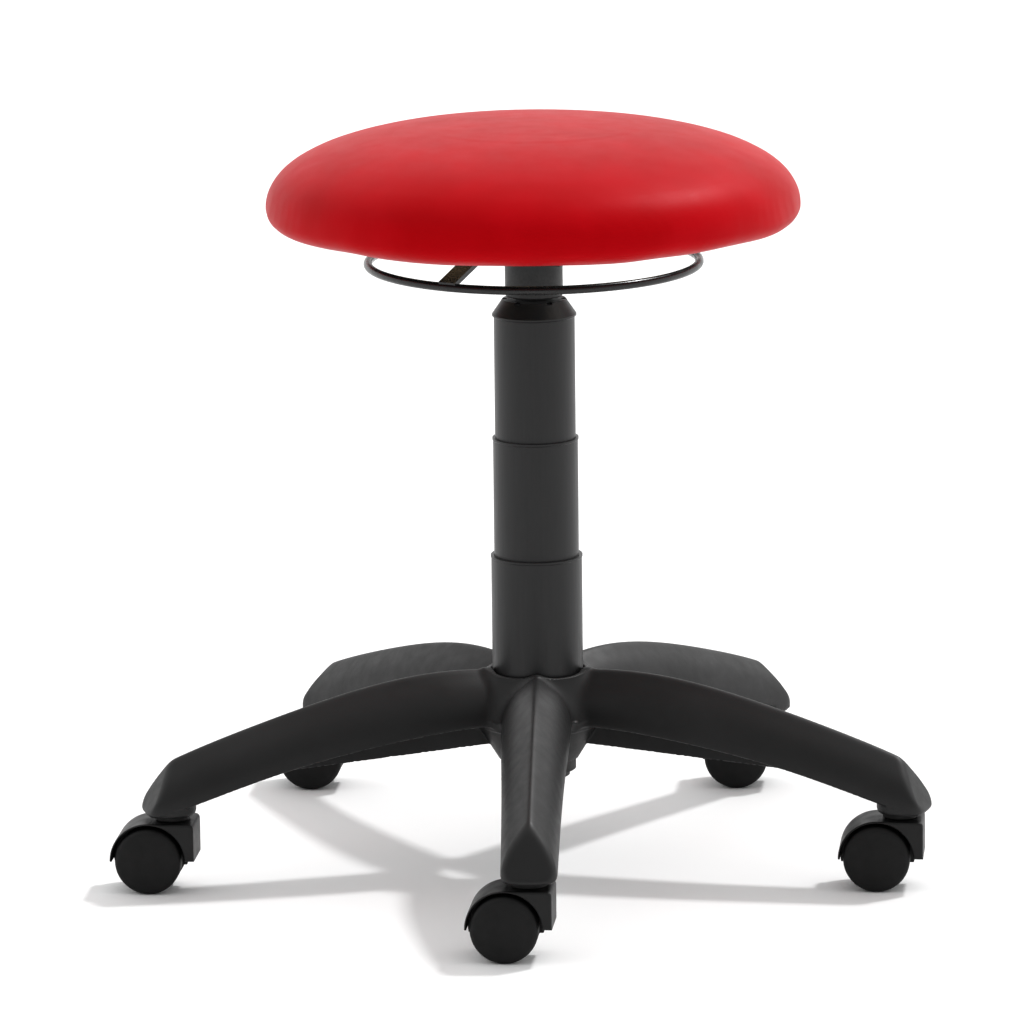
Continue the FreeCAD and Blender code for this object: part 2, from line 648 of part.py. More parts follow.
def board_fixings():
    """Tee nuts pressed in the board, with a screw and a washer for each."""
    circle = D["bolt_spacing"] / math.sqrt(2)
    base, top = D["board_base"], D["board_base"] + D["board_thick"]
    under = base - D["pan_skin"]
    turn = D["bar_azimuth"].value + 45
    turned_set("tee_nuts", [(3, base + 3), (4, base + 3), (4, top - 1.6), (9.5, top - 1.6), (9.5, top), (3, top)],
               circle, BOARD_BOLTS, turn)
    turned_set("board_screws", [(0, under - 5.2), (4.6, under - 5.2), (5.4, under - 4.4), (5.4, under - 1.2),
                                (3, under - 1.2), (3, top - 0.6), (0, top - 0.6)], circle, BOARD_BOLTS, turn)
    turned_set("screw_washers", [(3.2, under - 1.2), (7, under - 1.2), (7, under), (3.2, under)],
               circle, BOARD_BOLTS, turn)


def seat_padding():
    """Crowned foam on the board, and the vinyl skin wrapped over it and under the board."""
    radius, rim, rise, skin = D["seat_radius"], D["rim_height"], D["dome_rise"], D["cover_skin"]
    base, board = D["board_base"], D["board_radius"]
    tuck, hem = base - 1.3, size(138)
    inner = radius - skin
    shoulder = (radius * 0.9, rim + rise * 0.54)
    crown = (radius * 0.55, rim + rise * 0.896)
    lip = (board + (radius - board) * 0.766, rim - (rim - tuck) * 0.643)
    under = (crown[0] - 0.3, crown[1] - skin)
    slack = 0.4
    padding = (crown[0] - 0.3, crown[1] - skin - slack)
    summit = rim + rise
    turned("seat_cover", [
        (hem, tuck), (board, tuck), (lip[0], lip[1], 59), (radius, rim, 12), (shoulder[0], shoulder[1], 42),
        (crown[0], crown[1], 170), (0, summit, dome_radius(crown[0], summit - crown[1])),
        (0, summit - skin), (under[0], under[1], -dome_radius(under[0], summit - skin - under[1])),
        (shoulder[0] - 1.2, shoulder[1] - 1.3, -170),
        (inner, rim, -40), (lip[0] - 0.75, lip[1] + 1.25, -10.6), (board + 1.0, base - 0.05, -57),
        (hem, base - 0.05)])
    turned("seat_foam", [
        (0, base + D["board_thick"] + 0.2), (board + 0.6, base + D["board_thick"] + 0.2),
        (board + 0.6, base + 2.4), (lip[0] - 1.6, lip[1] + 2.6, 57), (inner - slack, rim, 10),
        (shoulder[0] - 1.7, shoulder[1] - 1.8, 40), (padding[0], padding[1], 170),
        (0, summit - skin - slack, dome_radius(padding[0], summit - skin - slack - padding[1]))])


def seat_underside():
    """Black dust cloth over the hem, and the staples that hold both to the board."""
    base = D["board_base"]
    turned("dust_cloth", [(108, base - 1.8), (150, base - 1.8), (150, base - 1.35), (108, base - 1.35)])
    staple = new_body("cover_staples")
    staple.AllowCompound = True
    side = new_sketch(staple, "staple_side", "YZ_Plane", 144)
    draw_outline(side, [(-5, base - 2.4), (5, base - 2.4), (5, base + 5), (4.3, base + 5),
                        (4.3, base - 1.85), (-4.3, base - 1.85), (-4.3, base + 5), (-5, base + 5)])
    piece = pad(staple, side, 1, both_ways=True)
    pattern = staple.newObject("PartDesign::PolarPattern", "staples_round")
    pattern.Originals = [piece]
    pattern.Axis = (side, ["V_Axis"])
    pattern.Angle = 360
    pattern.Occurrences = STAPLES
    staple.Tip = pattern


# ---------------------------------------------------------------- build, check, write

star_base()
base_metal()
castor_stems()
for castor in range(1, LEGS + 1):
    castor_hood(castor)
    castor_axle(castor)
    castor_wheel(castor, "near", -1)
    castor_wheel(castor, "far", 1)
column()
thrust_bearing()
gas_spring()
telescopic_covers()
mount_pan()
release_lever()
seat_board()
board_fixings()
seat_padding()
seat_underside()
doc.recompute()

failed = [item.Label for item in doc.Objects if set(item.State) & {"Invalid", "Error"}]
failed += [item.Label for item in subparts if item.Shape.isNull() or not item.Shape.isValid()]
if failed:
    raise SystemExit("failed: " + ", ".join(failed))

os.makedirs("parts", exist_ok=True)
for item in subparts:
    item.Shape.exportStep(os.path.join("parts", item.Label + ".step"))
print("%d sub-parts written" % len(subparts))
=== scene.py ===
import json
import math

import bpy
import numpy as np
from mathutils import Matrix, Vector

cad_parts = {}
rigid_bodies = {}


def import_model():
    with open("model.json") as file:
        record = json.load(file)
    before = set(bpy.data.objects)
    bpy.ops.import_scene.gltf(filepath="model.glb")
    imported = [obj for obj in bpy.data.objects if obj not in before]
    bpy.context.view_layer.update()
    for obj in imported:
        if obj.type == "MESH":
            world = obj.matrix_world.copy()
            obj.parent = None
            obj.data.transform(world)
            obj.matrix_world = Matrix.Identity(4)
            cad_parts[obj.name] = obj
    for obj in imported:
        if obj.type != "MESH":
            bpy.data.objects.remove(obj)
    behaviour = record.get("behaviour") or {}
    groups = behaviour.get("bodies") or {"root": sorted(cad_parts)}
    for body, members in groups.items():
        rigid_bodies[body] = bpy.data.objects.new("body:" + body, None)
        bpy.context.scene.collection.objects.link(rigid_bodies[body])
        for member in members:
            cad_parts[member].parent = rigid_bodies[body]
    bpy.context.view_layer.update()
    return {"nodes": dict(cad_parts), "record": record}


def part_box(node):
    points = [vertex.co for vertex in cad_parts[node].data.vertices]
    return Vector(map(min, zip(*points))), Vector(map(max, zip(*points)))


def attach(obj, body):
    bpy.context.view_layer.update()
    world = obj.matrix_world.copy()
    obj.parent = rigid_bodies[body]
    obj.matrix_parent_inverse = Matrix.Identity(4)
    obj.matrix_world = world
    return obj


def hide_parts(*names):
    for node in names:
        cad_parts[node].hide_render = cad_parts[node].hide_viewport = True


# Looks for the rolling stylist stool. Shapes are worked out in millimetres and handed to
# Blender in metres. The extents of the base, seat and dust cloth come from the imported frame.

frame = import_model()

MM = 0.001
LEGS = 5
LEG_TURN = 2 * math.pi / LEGS
CASTOR_CIRCLE = 287
CASTOR_TRAIL = 17
CASTOR_YAW = math.radians(-4)
WHEEL_RADIUS = 25

# One leg's sections: distance from the column, crest height, lower edge height, half width.
LEG_SECTIONS = np.array([
    (37, 149.2, 111.0, 26.0),
    (70, 150.4, 110.2, 26.5),
    (106, 148.0, 106.9, 26.0),
    (146, 140.8, 99.9, 24.5),
    (190, 129.4, 91.0, 23.3),
    (230, 118.2, 81.2, 22.4),
    (262, 107.6, 71.0, 21.8),
    (312, 87.5, 58.5, 21.2),
])
# The curves through the sections take distance in hundreds of millimetres.
LEG_UNIT = 100
LEG_FITS = [np.polyfit(LEG_SECTIONS[:, 0] / LEG_UNIT, LEG_SECTIONS[:, column], 5) for column in (1, 2, 3)]


def node_box(name):
    """Low and high corners of a CAD node in millimetres."""
    low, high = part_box(name)
    return np.array(low) / MM, np.array(high) / MM


# ---------------------------------------------------------------- mesh helpers

def shade_smooth(mesh):
    """Shade all faces as one smooth surface."""
    mesh.polygons.foreach_set("use_smooth", [True] * len(mesh.polygons))


def mesh_object(name, points_mm, faces):
    """A new smooth-shaded mesh object from points in millimetres."""
    mesh = bpy.data.meshes.new(name)
    mesh.from_pydata((np.asarray(points_mm) * MM).tolist(), [], [list(map(int, face)) for face in faces])
    mesh.update()
    shade_smooth(mesh)
    piece = bpy.data.objects.new(name, mesh)
    bpy.context.scene.collection.objects.link(piece)
    return piece


def add_piece(piece, body, material, slot, *stands_for):
    """Give a new piece its material and its body, and hide the CAD nodes that it stands for."""
    if not piece.data.materials:
        piece.data.materials.append(material)
    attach(piece, body)
    if stands_for:
        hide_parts(*stands_for)
    return piece


def apply_modifiers(piece):
    """Turn the modified mesh into the piece's own mesh."""
    graph = bpy.context.evaluated_depsgraph_get()
    made = bpy.data.meshes.new_from_object(piece.evaluated_get(graph), depsgraph=graph)
    piece.modifiers.clear()
    piece.data = made


def vertex_places(piece):
    """The piece's vertices as an array, in metres."""
    return np.array([vertex.co for vertex in piece.data.vertices])


def move_vertices(piece, places):
    """Put the piece's vertices at these places, in metres."""
    piece.data.vertices.foreach_set("co", places.astype(np.float32).ravel())


def lathe(name, profile, segments):
    """Turn a closed (radius, height) profile about Z; points on the axis become one vertex."""
    points, rings = [], []
    angles = np.linspace(0, 2 * math.pi, segments, endpoint=False)
    for radius, height in profile:
        if radius < 1e-6:
            rings.append([len(points)] * segments)
            points.append((0, 0, height))
        else:
            rings.append(list(range(len(points), len(points) + segments)))
            points.extend((radius * math.cos(a), radius * math.sin(a), height) for a in angles)
    faces = []
    for ring, following in zip(rings, rings[1:] + rings[:1]):
        for i in range(segments):
            j = (i + 1) % segments
            corners = [ring[i], ring[j], following[j], following[i]]
            unique = list(dict.fromkeys(corners))
            if len(unique) > 2:
                faces.append(unique)
    return mesh_object(name, points, faces)


def ring_sheet(name, rows, segments, place):
    """A thin closed ring; place(side, share, angle) gives radius and height, side 0 being the lower face."""
    points, faces = [], []
    for side in (0, 1):
        for row in range(rows + 1):
            for j in range(segments):
                angle = 2 * math.pi * j / segments
                radius, height = place(side, row / rows, angle)
                points.append((radius * math.cos(angle), radius * math.sin(angle), height))
    upper, last = segments * (rows + 1), segments * rows
    for j in range(segments):
        k = (j + 1) % segments
        for row in range(rows):
            near, far = row * segments, (row + 1) * segments
            faces.append((near + j, near + k, far + k, far + j))
            faces.append((upper + far + j, upper + far + k, upper + near + k, upper + near + j))
        faces.append((upper + j, upper + k, k, j))
        faces.append((last + j, last + k, upper + last + k, upper + last + j))
    return mesh_object(name, points, faces)


def smooth_min(a, b, reach):
    """The smaller of two fields, with a fillet of about this reach where they meet."""
    share = np.clip(0.5 + 0.5 * (b - a) / reach, 0, 1)
    return b + (a - b) * share - reach * share * (1 - share)


def smooth_max(a, b, reach):
    """The larger of two fields, with an edge rounded by about this reach where they meet."""
    return -smooth_min(-a, -b, reach)


def surface_net(name, field, low, high, step):
    """A closed mesh where field(x, y, z) is zero: one point per crossed cell, one quad per crossed edge."""
    normal_nudge = 0.4 * step
    axes = [np.arange(low[i], high[i] + step, step, dtype=np.float32) for i in range(3)]
    shape = tuple(len(axis) for axis in axes)
    values = np.empty(shape, np.float32)
    for k, height in enumerate(axes[2]):
        x, y = np.meshgrid(axes[0], axes[1], indexing="ij")
        values[:, :, k] = field(x, y, np.full_like(x, height))
    inside = values < 0
    span = [slice(0, -1), slice(1, None)]
    count = sum(inside[span[i], span[j], span[k]].astype(np.int8)
                for i in (0, 1) for j in (0, 1) for k in (0, 1))
    active = (count > 0) & (count < 8)
    cells = np.argwhere(active)
    number = np.full(active.shape, -1, np.int64)
    number[active] = np.arange(len(cells))

    # A cell's point is the mean of the places where the surface crosses the cell's edges.
    total, hits = np.zeros((len(cells), 3)), np.zeros(len(cells))
    for axis in range(3):
        others = [i for i in range(3) if i != axis]
        for one in (0, 1):
            for two in (0, 1):
                start = np.zeros(3, int)
                start[others[0]], start[others[1]] = one, two
                end = start.copy()
                end[axis] = 1
                a = values[tuple((cells + start).T)]
                b = values[tuple((cells + end).T)]
                crossed = (a < 0) != (b < 0)
                spot = np.repeat(start[None].astype(float), len(cells), 0)
                spot[crossed, axis] = a[crossed] / (a[crossed] - b[crossed])
                total[crossed] += spot[crossed]
                hits[crossed] += 1
    points = np.array(low) + (cells + total / hits[:, None]) * step

    # Each crossed grid edge gets a quad from the points of the four cells around it.
    faces = []
    for axis in range(3):
        one, two = [i for i in range(3) if i != axis]
        near = [slice(None)] * 3
        far = [slice(None)] * 3
        near[axis], far[axis] = slice(0, -1), slice(1, None)
        leaving = inside[tuple(near)] & ~inside[tuple(far)]
        entering = ~inside[tuple(near)] & inside[tuple(far)]
        for crossing, forward in ((leaving, True), (entering, False)):
            edges = np.argwhere(crossing)
            edges = edges[(edges[:, one] > 0) & (edges[:, two] > 0)]
            corners = []
            for back_one, back_two in ((1, 1), (0, 1), (0, 0), (1, 0)):
                cell = edges.copy()
                cell[:, one] -= back_one
                cell[:, two] -= back_two
                corners.append(number[tuple(cell.T)])
            quads = np.stack(corners, 1)
            if forward == (axis == 1):
                quads = quads[:, ::-1]
            faces.append(quads)

    points = settle_on_field(points, field, step)
    piece = mesh_object(name, points, np.concatenate(faces))
    normals = field_slope(points, field, normal_nudge)
    normals /= np.maximum(np.linalg.norm(normals, axis=1), 1e-9)[:, None]
    piece.data.normals_split_custom_set_from_vertices(normals.tolist())
    return piece


def field_slope(points, field, nudge):
    """How fast the field grows along each axis."""
    x, y, z = points.T
    return np.stack([
        field(x + nudge, y, z) - field(x - nudge, y, z),
        field(x, y + nudge, z) - field(x, y - nudge, z),
        field(x, y, z + nudge) - field(x, y, z - nudge)], 1) / (2 * nudge)


def settle_on_field(points, field, step):
    """Move points along the field's slope until they lie on its zero surface."""
    rounds, nudge, least_slope, longest_move = 3, 0.25 * step, 0.5, 0.5 * step
    for _ in range(rounds):
        slope = field_slope(points, field, nudge)
        size = np.maximum((slope ** 2).sum(1), least_slope ** 2)
        move = -slope * (field(*points.T) / size)[:, None]
        length = np.linalg.norm(move, axis=1)
        points = points + move * np.minimum(1, longest_move / np.maximum(length, 1e-9))[:, None]
    return points


# ---------------------------------------------------------------- material helpers

class Shader:
    """A Principled material with short calls for its pattern nodes."""

    def __init__(self, name, colour, roughness, metallic=0.0, specular=0.5):
        self.material = bpy.data.materials.new(name)
        self.material.use_nodes = True
        self.tree = self.material.node_tree
        self.principled = self.tree.nodes["Principled BSDF"]
        self.coords = self.tree.nodes.new("ShaderNodeTexCoord").outputs["Object"]
        self.bumped = None
        self.set("Base Color", (*colour, 1))
        self.set("Roughness", roughness)
        self.set("Metallic", metallic)
        self.set("Specular IOR Level", specular)

    def set(self, socket, value):
        """Give a Principled input a fixed value."""
        self.principled.inputs[socket].default_value = value

    def node(self, kind, **inputs):
        """A new node with its inputs fed by name."""
        node = self.tree.nodes.new(kind)
        for key, value in inputs.items():
            self.feed(node.inputs[key.replace("_", " ")], value)
        return node

    def feed(self, socket, value):
        """Link the value if it is another node's output, or set it."""
        if isinstance(value, bpy.types.NodeSocket):
            self.tree.links.new(value, socket)
        else:
            socket.default_value = value

    def stretched(self, x, y, z):
        """Object coordinates scaled by axis, for patterns with a direction."""
        node = self.node("ShaderNodeVectorMath", Vector=self.coords)
        node.operation = "MULTIPLY"
        node.inputs[1].default_value = (x, y, z)
        return node.outputs[0]

    def noise(self, scale, detail=3.0, roughness=0.55, coords=None):
        """Fractal noise; scale counts its features per metre."""
        node = self.node("ShaderNodeTexNoise", Vector=coords or self.coords, Scale=scale,
                         Detail=detail, Roughness=roughness)
        return node.outputs["Fac"]

    def cells(self, scale, feature="DISTANCE_TO_EDGE"):
        """Distance within a cellular pattern; scale counts its cells per metre."""
        node = self.node("ShaderNodeTexVoronoi", Vector=self.coords, Scale=scale)
        node.feature = feature
        return node.outputs["Distance"]

    def ramp(self, value, first, last):
        """Map a value from one (position, level) to another."""
        node = self.node("ShaderNodeValToRGB", Fac=value)
        for element, (place, level) in zip(node.color_ramp.elements, (first, last)):
            element.position = place
            element.color = (level, level, level, 1)
        return node.outputs["Color"]

    def mixed(self, share, first, second):
        """Blend two colours by a share."""
        node = self.tree.nodes.new("ShaderNodeMix")
        node.data_type = "RGBA"
        self.feed(node.inputs["Factor"], share)
        for key, colour in (("A", first), ("B", second)):
            self.feed(node.inputs[key], (*colour, 1) if isinstance(colour, tuple) else colour)
        return node.outputs["Result"]

    def drift(self, value, low, high, first, second):
        """Go from the first colour to the second as a value rises from low to high."""
        return self.mixed(self.ramp(value, (low, 0.0), (high, 1.0)), first, second)

    def bump(self, value, distance, strength=1.0):
        """Stack a bump of this height, in metres, on the bumps so far."""
        node = self.node("ShaderNodeBump", Height=value, Distance=distance, Strength=strength)
        if self.bumped is not None:
            self.tree.links.new(self.bumped, node.inputs["Normal"])
        self.bumped = node.outputs["Normal"]
        self.drive("Normal", self.bumped)

    def edges(self):
        """A share that rises on convex edges."""
        flat, sharp = 0.58, 0.66
        pointiness = self.node("ShaderNodeNewGeometry").outputs["Pointiness"]
        return self.ramp(pointiness, (flat, 0.0), (sharp, 1.0))

    def drive(self, socket, value):
        """Link a node's output to a Principled input."""
        self.tree.links.new(value, self.principled.inputs[socket])


def red_vinyl():
    """Taut upholstery vinyl: fine leather grain, a soft broad gloss and slight undulation."""
    s = Shader("red_vinyl", (0.5, 0.003, 0.008), 0.42, specular=0.12)
    s.set("Specular Tint", (1.0, 0.33, 0.39, 1))
    s.drive("Base Color", s.drift(s.noise(16, 2), 0.35, 0.7, (0.40, 0.001, 0.004), (0.46, 0.002, 0.007)))
    s.drive("Roughness", s.ramp(s.noise(60, 4), (0.3, 0.41), (0.7, 0.46)))
    s.bump(s.noise(22, 2, 0.4), 0.0005, 0.15)
    s.bump(s.ramp(s.cells(950), (0.0, 0.0), (0.25, 1.0)), 0.00006, 0.4)
    s.bump(s.noise(2600, 2), 0.00003, 0.5)
    return s.material


def moulded_nylon(name, grey, roughness, texture):
    """Black moulded nylon: spark-eroded texture, faint flow marks, and convex edges painted paler as a
    highlight.
    """
    s = Shader(name, (grey, grey, grey * 1.02), roughness, specular=0.36)
    # The third grey is a painted highlight for convex edges, crests and rims.
    dark, pale, edge_highlight = grey * 0.85, grey * 1.2, grey * 2.6
    base = s.drift(s.noise(14, 3), 0.3, 0.7, (dark, dark, dark), (pale, pale, pale * 1.02))
    # Convex edges are mixed towards that paler grey as a painted highlight.
    s.drive("Base Color", s.mixed(s.edges(), base, (edge_highlight, edge_highlight, edge_highlight)))
    s.drive("Roughness", s.ramp(s.noise(90, 3), (0.3, roughness - 0.05), (0.7, roughness + 0.06)))
    s.bump(s.noise(texture, 3, 0.6), 0.00009, 0.6)
    s.bump(s.noise(texture * 0.3, 2), 0.0001, 0.25)
    return s.material


def tube_plastic():
    """Satin extruded tube: very fine lines along its length and a soft sheen."""
    s = Shader("tube_plastic", (0.014, 0.014, 0.0145), 0.4, specular=0.48)
    lines = s.noise(900, 2, coords=s.stretched(1, 1, 0.03))
    s.drive("Roughness", s.ramp(lines, (0.3, 0.36), (0.7, 0.46)))
    s.bump(lines, 0.00003, 0.5)
    s.bump(s.noise(2400, 2), 0.00003, 0.5)
    return s.material


def painted_steel(name, grey, roughness):
    """Powder coat: slight orange peel and a few darker specks."""
    s = Shader(name, (grey, grey, grey), roughness, specular=0.5)
    dark, pale = grey * 0.8, grey * 1.25
    s.drive("Base Color", s.drift(s.noise(500, 3), 0.35, 0.65, (dark, dark, dark), (pale, pale, pale)))
    s.drive("Roughness", s.ramp(s.noise(120, 2), (0.3, roughness - 0.05), (0.7, roughness + 0.07)))
    s.bump(s.noise(700, 1, 0.3), 0.00002, 0.25)
    return s.material


def bare_metal(name, grey, roughness, stretch):
    """Ground or plated steel with directional scratches and a mottled tone."""
    s = Shader(name, (grey, grey, grey * 1.01), roughness, metallic=1.0)
    lines = s.noise(1200, 3, coords=s.stretched(*stretch))
    s.drive("Base Color", s.drift(s.noise(180, 3), 0.3, 0.7,
                                  (grey * 0.82, grey * 0.82, grey * 0.8), (grey, grey, grey * 1.03)))
    s.drive("Roughness", s.ramp(lines, (0.3, roughness - 0.07), (0.7, roughness + 0.1)))
    s.bump(lines, 0.00003, 0.4)
    return s.material


def black_rubber():
    """Dull rubber with a fine pebbled surface."""
    s = Shader("black_rubber", (0.008, 0.008, 0.008), 0.75, specular=0.2)
    s.drive("Roughness", s.ramp(s.noise(140, 3), (0.3, 0.65), (0.7, 0.85)))
    s.bump(s.noise(1500, 3), 0.00008, 0.5)
    return s.material


def acetal():
    """Dark acetal with a slight sheen."""
    s = Shader("acetal", (0.05, 0.05, 0.052), 0.45)
    s.drive("Roughness", s.ramp(s.noise(200, 3), (0.3, 0.38), (0.7, 0.52)))
    s.bump(s.noise(1800, 2), 0.00004, 0.4)
    return s.material


def birch_plywood():
    """Plies show as bands on the edge; the faces have long grain."""
    s = Shader("birch_plywood", (0.6, 0.43, 0.25), 0.6, specular=0.3)
    wave = s.node("ShaderNodeTexWave", Vector=s.coords, Scale=210.0, Distortion=0.6)
    wave.bands_direction = "Z"
    grain = s.noise(60, 6, coords=s.stretched(1, 14, 1))
    face = s.drift(grain, 0.35, 0.65, (0.50, 0.33, 0.17), (0.68, 0.50, 0.30))
    plies = s.ramp(wave.outputs["Fac"], (0.4, 0.0), (0.75, 0.45))
    s.drive("Base Color", s.mixed(plies, face, (0.36, 0.22, 0.11)))
    s.bump(grain, 0.0002, 0.4)
    return s.material


def open_foam():
    """Pale open-cell foam with visible pores."""
    s = Shader("open_foam", (0.82, 0.76, 0.55), 0.95, specular=0.1)
    pores = s.cells(900, "F1")
    s.drive("Base Color", s.mixed(pores, (0.86, 0.80, 0.60), (0.62, 0.54, 0.36)))
    s.bump(pores, 0.0005, 0.8)
    return s.material


def non_woven():
    """Thin black non-woven cloth with a pressed dimple pattern."""
    s = Shader("non_woven", (0.02, 0.02, 0.021), 0.9, specular=0.2)
    fibres = s.noise(1800, 5, 0.7)
    s.drive("Base Color", s.drift(fibres, 0.35, 0.7, (0.012, 0.012, 0.012), (0.045, 0.045, 0.047)))
    s.bump(s.cells(700, "F1"), 0.0002, 0.6)
    s.bump(fibres, 0.0001, 0.6)
    return s.material


MATERIALS = {
    "base_nylon": moulded_nylon("base_nylon", 0.017, 0.48, 1500),
    "castor_nylon": moulded_nylon("castor_nylon", 0.009, 0.46, 1700),
    "wheel_nylon": moulded_nylon("wheel_nylon", 0.006, 0.62, 1500),
    "cover_plastic": tube_plastic(),
    "bush_plastic": acetal(),
    "black_steel": painted_steel("black_steel", 0.006, 0.5),
    "ring_steel": painted_steel("ring_steel", 0.010, 0.26),
    "socket_steel": painted_steel("socket_steel", 0.014, 0.42),
    "zinc_steel": bare_metal("zinc_steel", 0.56, 0.34, (1, 1, 1)),
    "bright_steel": bare_metal("bright_steel", 0.66, 0.2, (1, 1, 0.05)),
    "rubber_black": black_rubber(),
    "plywood": birch_plywood(),
    "red_vinyl": red_vinyl(),
    "seat_foam": open_foam(),
    "dust_cloth": non_woven(),
}


def finish_cad_nodes():
    """Every CAD node takes the material of its slot in the record."""
    slot_of = {part["node"]: part["material_slot"] for part in frame["record"]["subparts"]}
    for name, piece in frame["nodes"].items():
        piece.data.materials.clear()
        piece.data.materials.append(MATERIALS[slot_of[name]])


# ---------------------------------------------------------------- five-star base

def leg_field(reach, side, z):
    """One leg, with reach along it and side across it: an arched shell over ribs, and a solid end."""
    start, end, underside = 36, 316, 58.0
    skin, rib, fillet = 3.4, 1.3, 0.8
    along = np.clip(reach, start, end) / LEG_UNIT
    crest, low, half = [np.polyval(fit, along) for fit in LEG_FITS]
    low = np.maximum(low, underside + 1.0)

    # Two arcs rise from the lower edges and meet in a rounded ridge along the crest.
    crest_round, ridge_height, ridge_width = 3.4, 2.0, 6.0
    rise = crest - low + 0.2
    flank = (half ** 2 + rise ** 2) / (2 * half)
    across = np.sqrt(side ** 2 + crest_round ** 2) + flank - half
    ridge = ridge_height * np.exp(-(side / ridge_width) ** 2)
    face = np.hypot(across, z - low) - flank - ridge

    # The tip is cut by a sloping plane and is rounded seen from above.
    tip_reach, tip_height, tip_out, tip_up = 290, 97, 37, 19.5
    furthest, plan_round, tip_round, lower_round, side_round = 309.4, 16, 4.5, 2.4, 1.5
    tip = ((reach - tip_reach) * tip_out + (z - tip_height) * tip_up) / math.hypot(tip_out, tip_up)
    plan = smooth_max(np.abs(side) - half, reach - furthest, plan_round)
    shell = smooth_max(smooth_max(face, low - z, lower_round), tip, tip_round)
    shell = smooth_max(shell, plan, side_round)

    # Underneath it is hollow, with ribs across at an even pitch and a spine along the middle.
    hollow_from, hollow_to, hollow_round = 62, 256, 3
    rib_from, rib_pitch = 80, 40
    spine_from, spine_to, spine_height, spine_slope = 30, 262, 94.6, 0.0545
    cavity = smooth_max(face + skin, np.maximum(hollow_from - reach, reach - hollow_to), hollow_round)
    cross_ribs = np.abs((reach - rib_from) % rib_pitch - rib_pitch / 2) - rib
    shell = smooth_max(shell, -np.maximum(cavity, -cross_ribs), fillet)
    spine = np.maximum(np.abs(side) - rib, face + skin / 2)
    spine = np.maximum(spine, np.maximum(spine_height - spine_slope * reach - z, reach - spine_to))
    shell = smooth_min(shell, np.maximum(spine, spine_from - reach), fillet)

    # A block drops from the leg's end to the castor's collar, set in a little from the shell.
    step_in, taper, top_round, foot_round = 0.5, 1.25, 1.0, 5
    drop = np.hypot(across, np.maximum(z - low, 0)) - flank - ridge
    block = np.hypot(np.minimum(reach - CASTOR_CIRCLE, 0) * taper, side) - half
    block = smooth_max(smooth_max(block, drop + step_in, top_round), tip + step_in, tip_round)
    block = smooth_max(smooth_max(block, plan + step_in, side_round), underside - z, foot_round)
    return np.minimum(shell, block)


def star_field(x, y, z):
    """The moulded base: five legs, a hub with fillets to them, and the hole for the taper socket."""
    angle = np.arctan2(x, -y)
    own_turn = np.abs(angle - np.round(angle / LEG_TURN) * LEG_TURN)
    next_turn = LEG_TURN - own_turn
    reach = np.hypot(x, y)
    own = leg_field(reach * np.cos(own_turn), reach * np.sin(own_turn), z)
    other = leg_field(reach * np.cos(next_turn), reach * np.sin(next_turn), z)

    # A cone spreads down from the hub's mouth, and a flared post stands under it.
    hub_top, cone_base, cone_radius, cone_spread, cone_depth = 148.0, 108, 39.3, 10.7, 47
    post_base, post_top, post_radius, post_spread = 79.0, 116, 30.0, 0.62
    fall = np.clip((hub_top - z) / cone_depth, 0, 1)
    cone = np.maximum(reach - cone_radius - cone_spread * fall ** 1.5, np.maximum(z - hub_top, cone_base - z))
    post_side = reach - post_radius - (z - post_base) * post_spread
    post = np.maximum(post_side, np.maximum(post_base - z, z - post_top))

    # The fillets of the legs and the cone fade out towards the underside.
    fade_from, fade_over, least = 96, 20, 0.05
    leg_fillet, cone_fillet, post_fillet = 16, 10, 2
    upper = np.clip((z - fade_from) / fade_over, least, 1)
    whole = smooth_min(own, other, leg_fillet * upper)
    whole = smooth_min(whole, cone, cone_fillet * upper)
    whole = smooth_min(whole, post, post_fillet)

    mouth_radius, mouth_floor, bore_radius = 36.3, 118.0, 28.5
    mouth = np.maximum(reach - mouth_radius, mouth_floor - z)
    whole = smooth_max(whole, -mouth, 1.0)
    return smooth_max(whole, bore_radius - reach, 0.6)


def star_base():
    """The one-piece nylon base."""
    low, high = node_box("star_base")
    margin = 2.0
    piece = surface_net("star_base_moulding", star_field, low - margin, high + margin, step=1.5)
    return add_piece(piece, "base", MATERIALS["base_nylon"], "base_nylon", "star_base")


# ---------------------------------------------------------------- castors

def hood_field(x, y, z):
    """One castor hood about its stem axis, trailing towards -X: fender, web, stem housing."""
    fender_radius, fender_half, fender_foot, wheel_gap = 29.0, 20.0, 24.5, 2.5
    front, top, foot_slope, slope_end = 17.8, 54.0, 0.1, 9
    web_radius, web_half, web_foot = 28.0, 2.5, 19.0
    post_radius, post_foot, post_top = 7.4, 27, 53.5
    bore_radius, bore_foot = 5.6, 29
    from_axle = np.hypot(x + CASTOR_TRAIL, z - WHEEL_RADIUS)
    from_stem = np.hypot(x, y)
    box = smooth_max(np.maximum(x - front, -CASTOR_TRAIL - x), z - top, 4)
    shape = np.minimum(from_axle - fender_radius, box)
    shape = smooth_max(shape, (WHEEL_RADIUS + wheel_gap) - from_axle, 0.5)
    shape = np.maximum(shape, fender_foot - z + np.clip(x, 0, slope_end) * foot_slope)
    fender = smooth_max(shape, np.abs(y) - fender_half, 2.0)
    web = np.maximum(from_axle - web_radius, np.maximum(np.abs(y) - web_half, web_foot - z))
    post = np.maximum(from_stem - post_radius, np.maximum(post_foot - z, z - post_top))
    hood = smooth_min(fender, np.minimum(web, post), 0.8)
    bore = np.maximum(from_stem - bore_radius, bore_foot - z)
    return smooth_max(hood, -bore, 0.5)


def castor_place(number):
    """Where a castor's stem axis stands on the floor, with the castor trailing towards -X."""
    angle = -math.pi / 2 + (number - 1) * LEG_TURN
    spot = Vector((math.cos(angle), math.sin(angle), 0)) * CASTOR_CIRCLE * MM
    return Matrix.Translation(spot) @ Matrix.Rotation(CASTOR_YAW, 4, "Z")


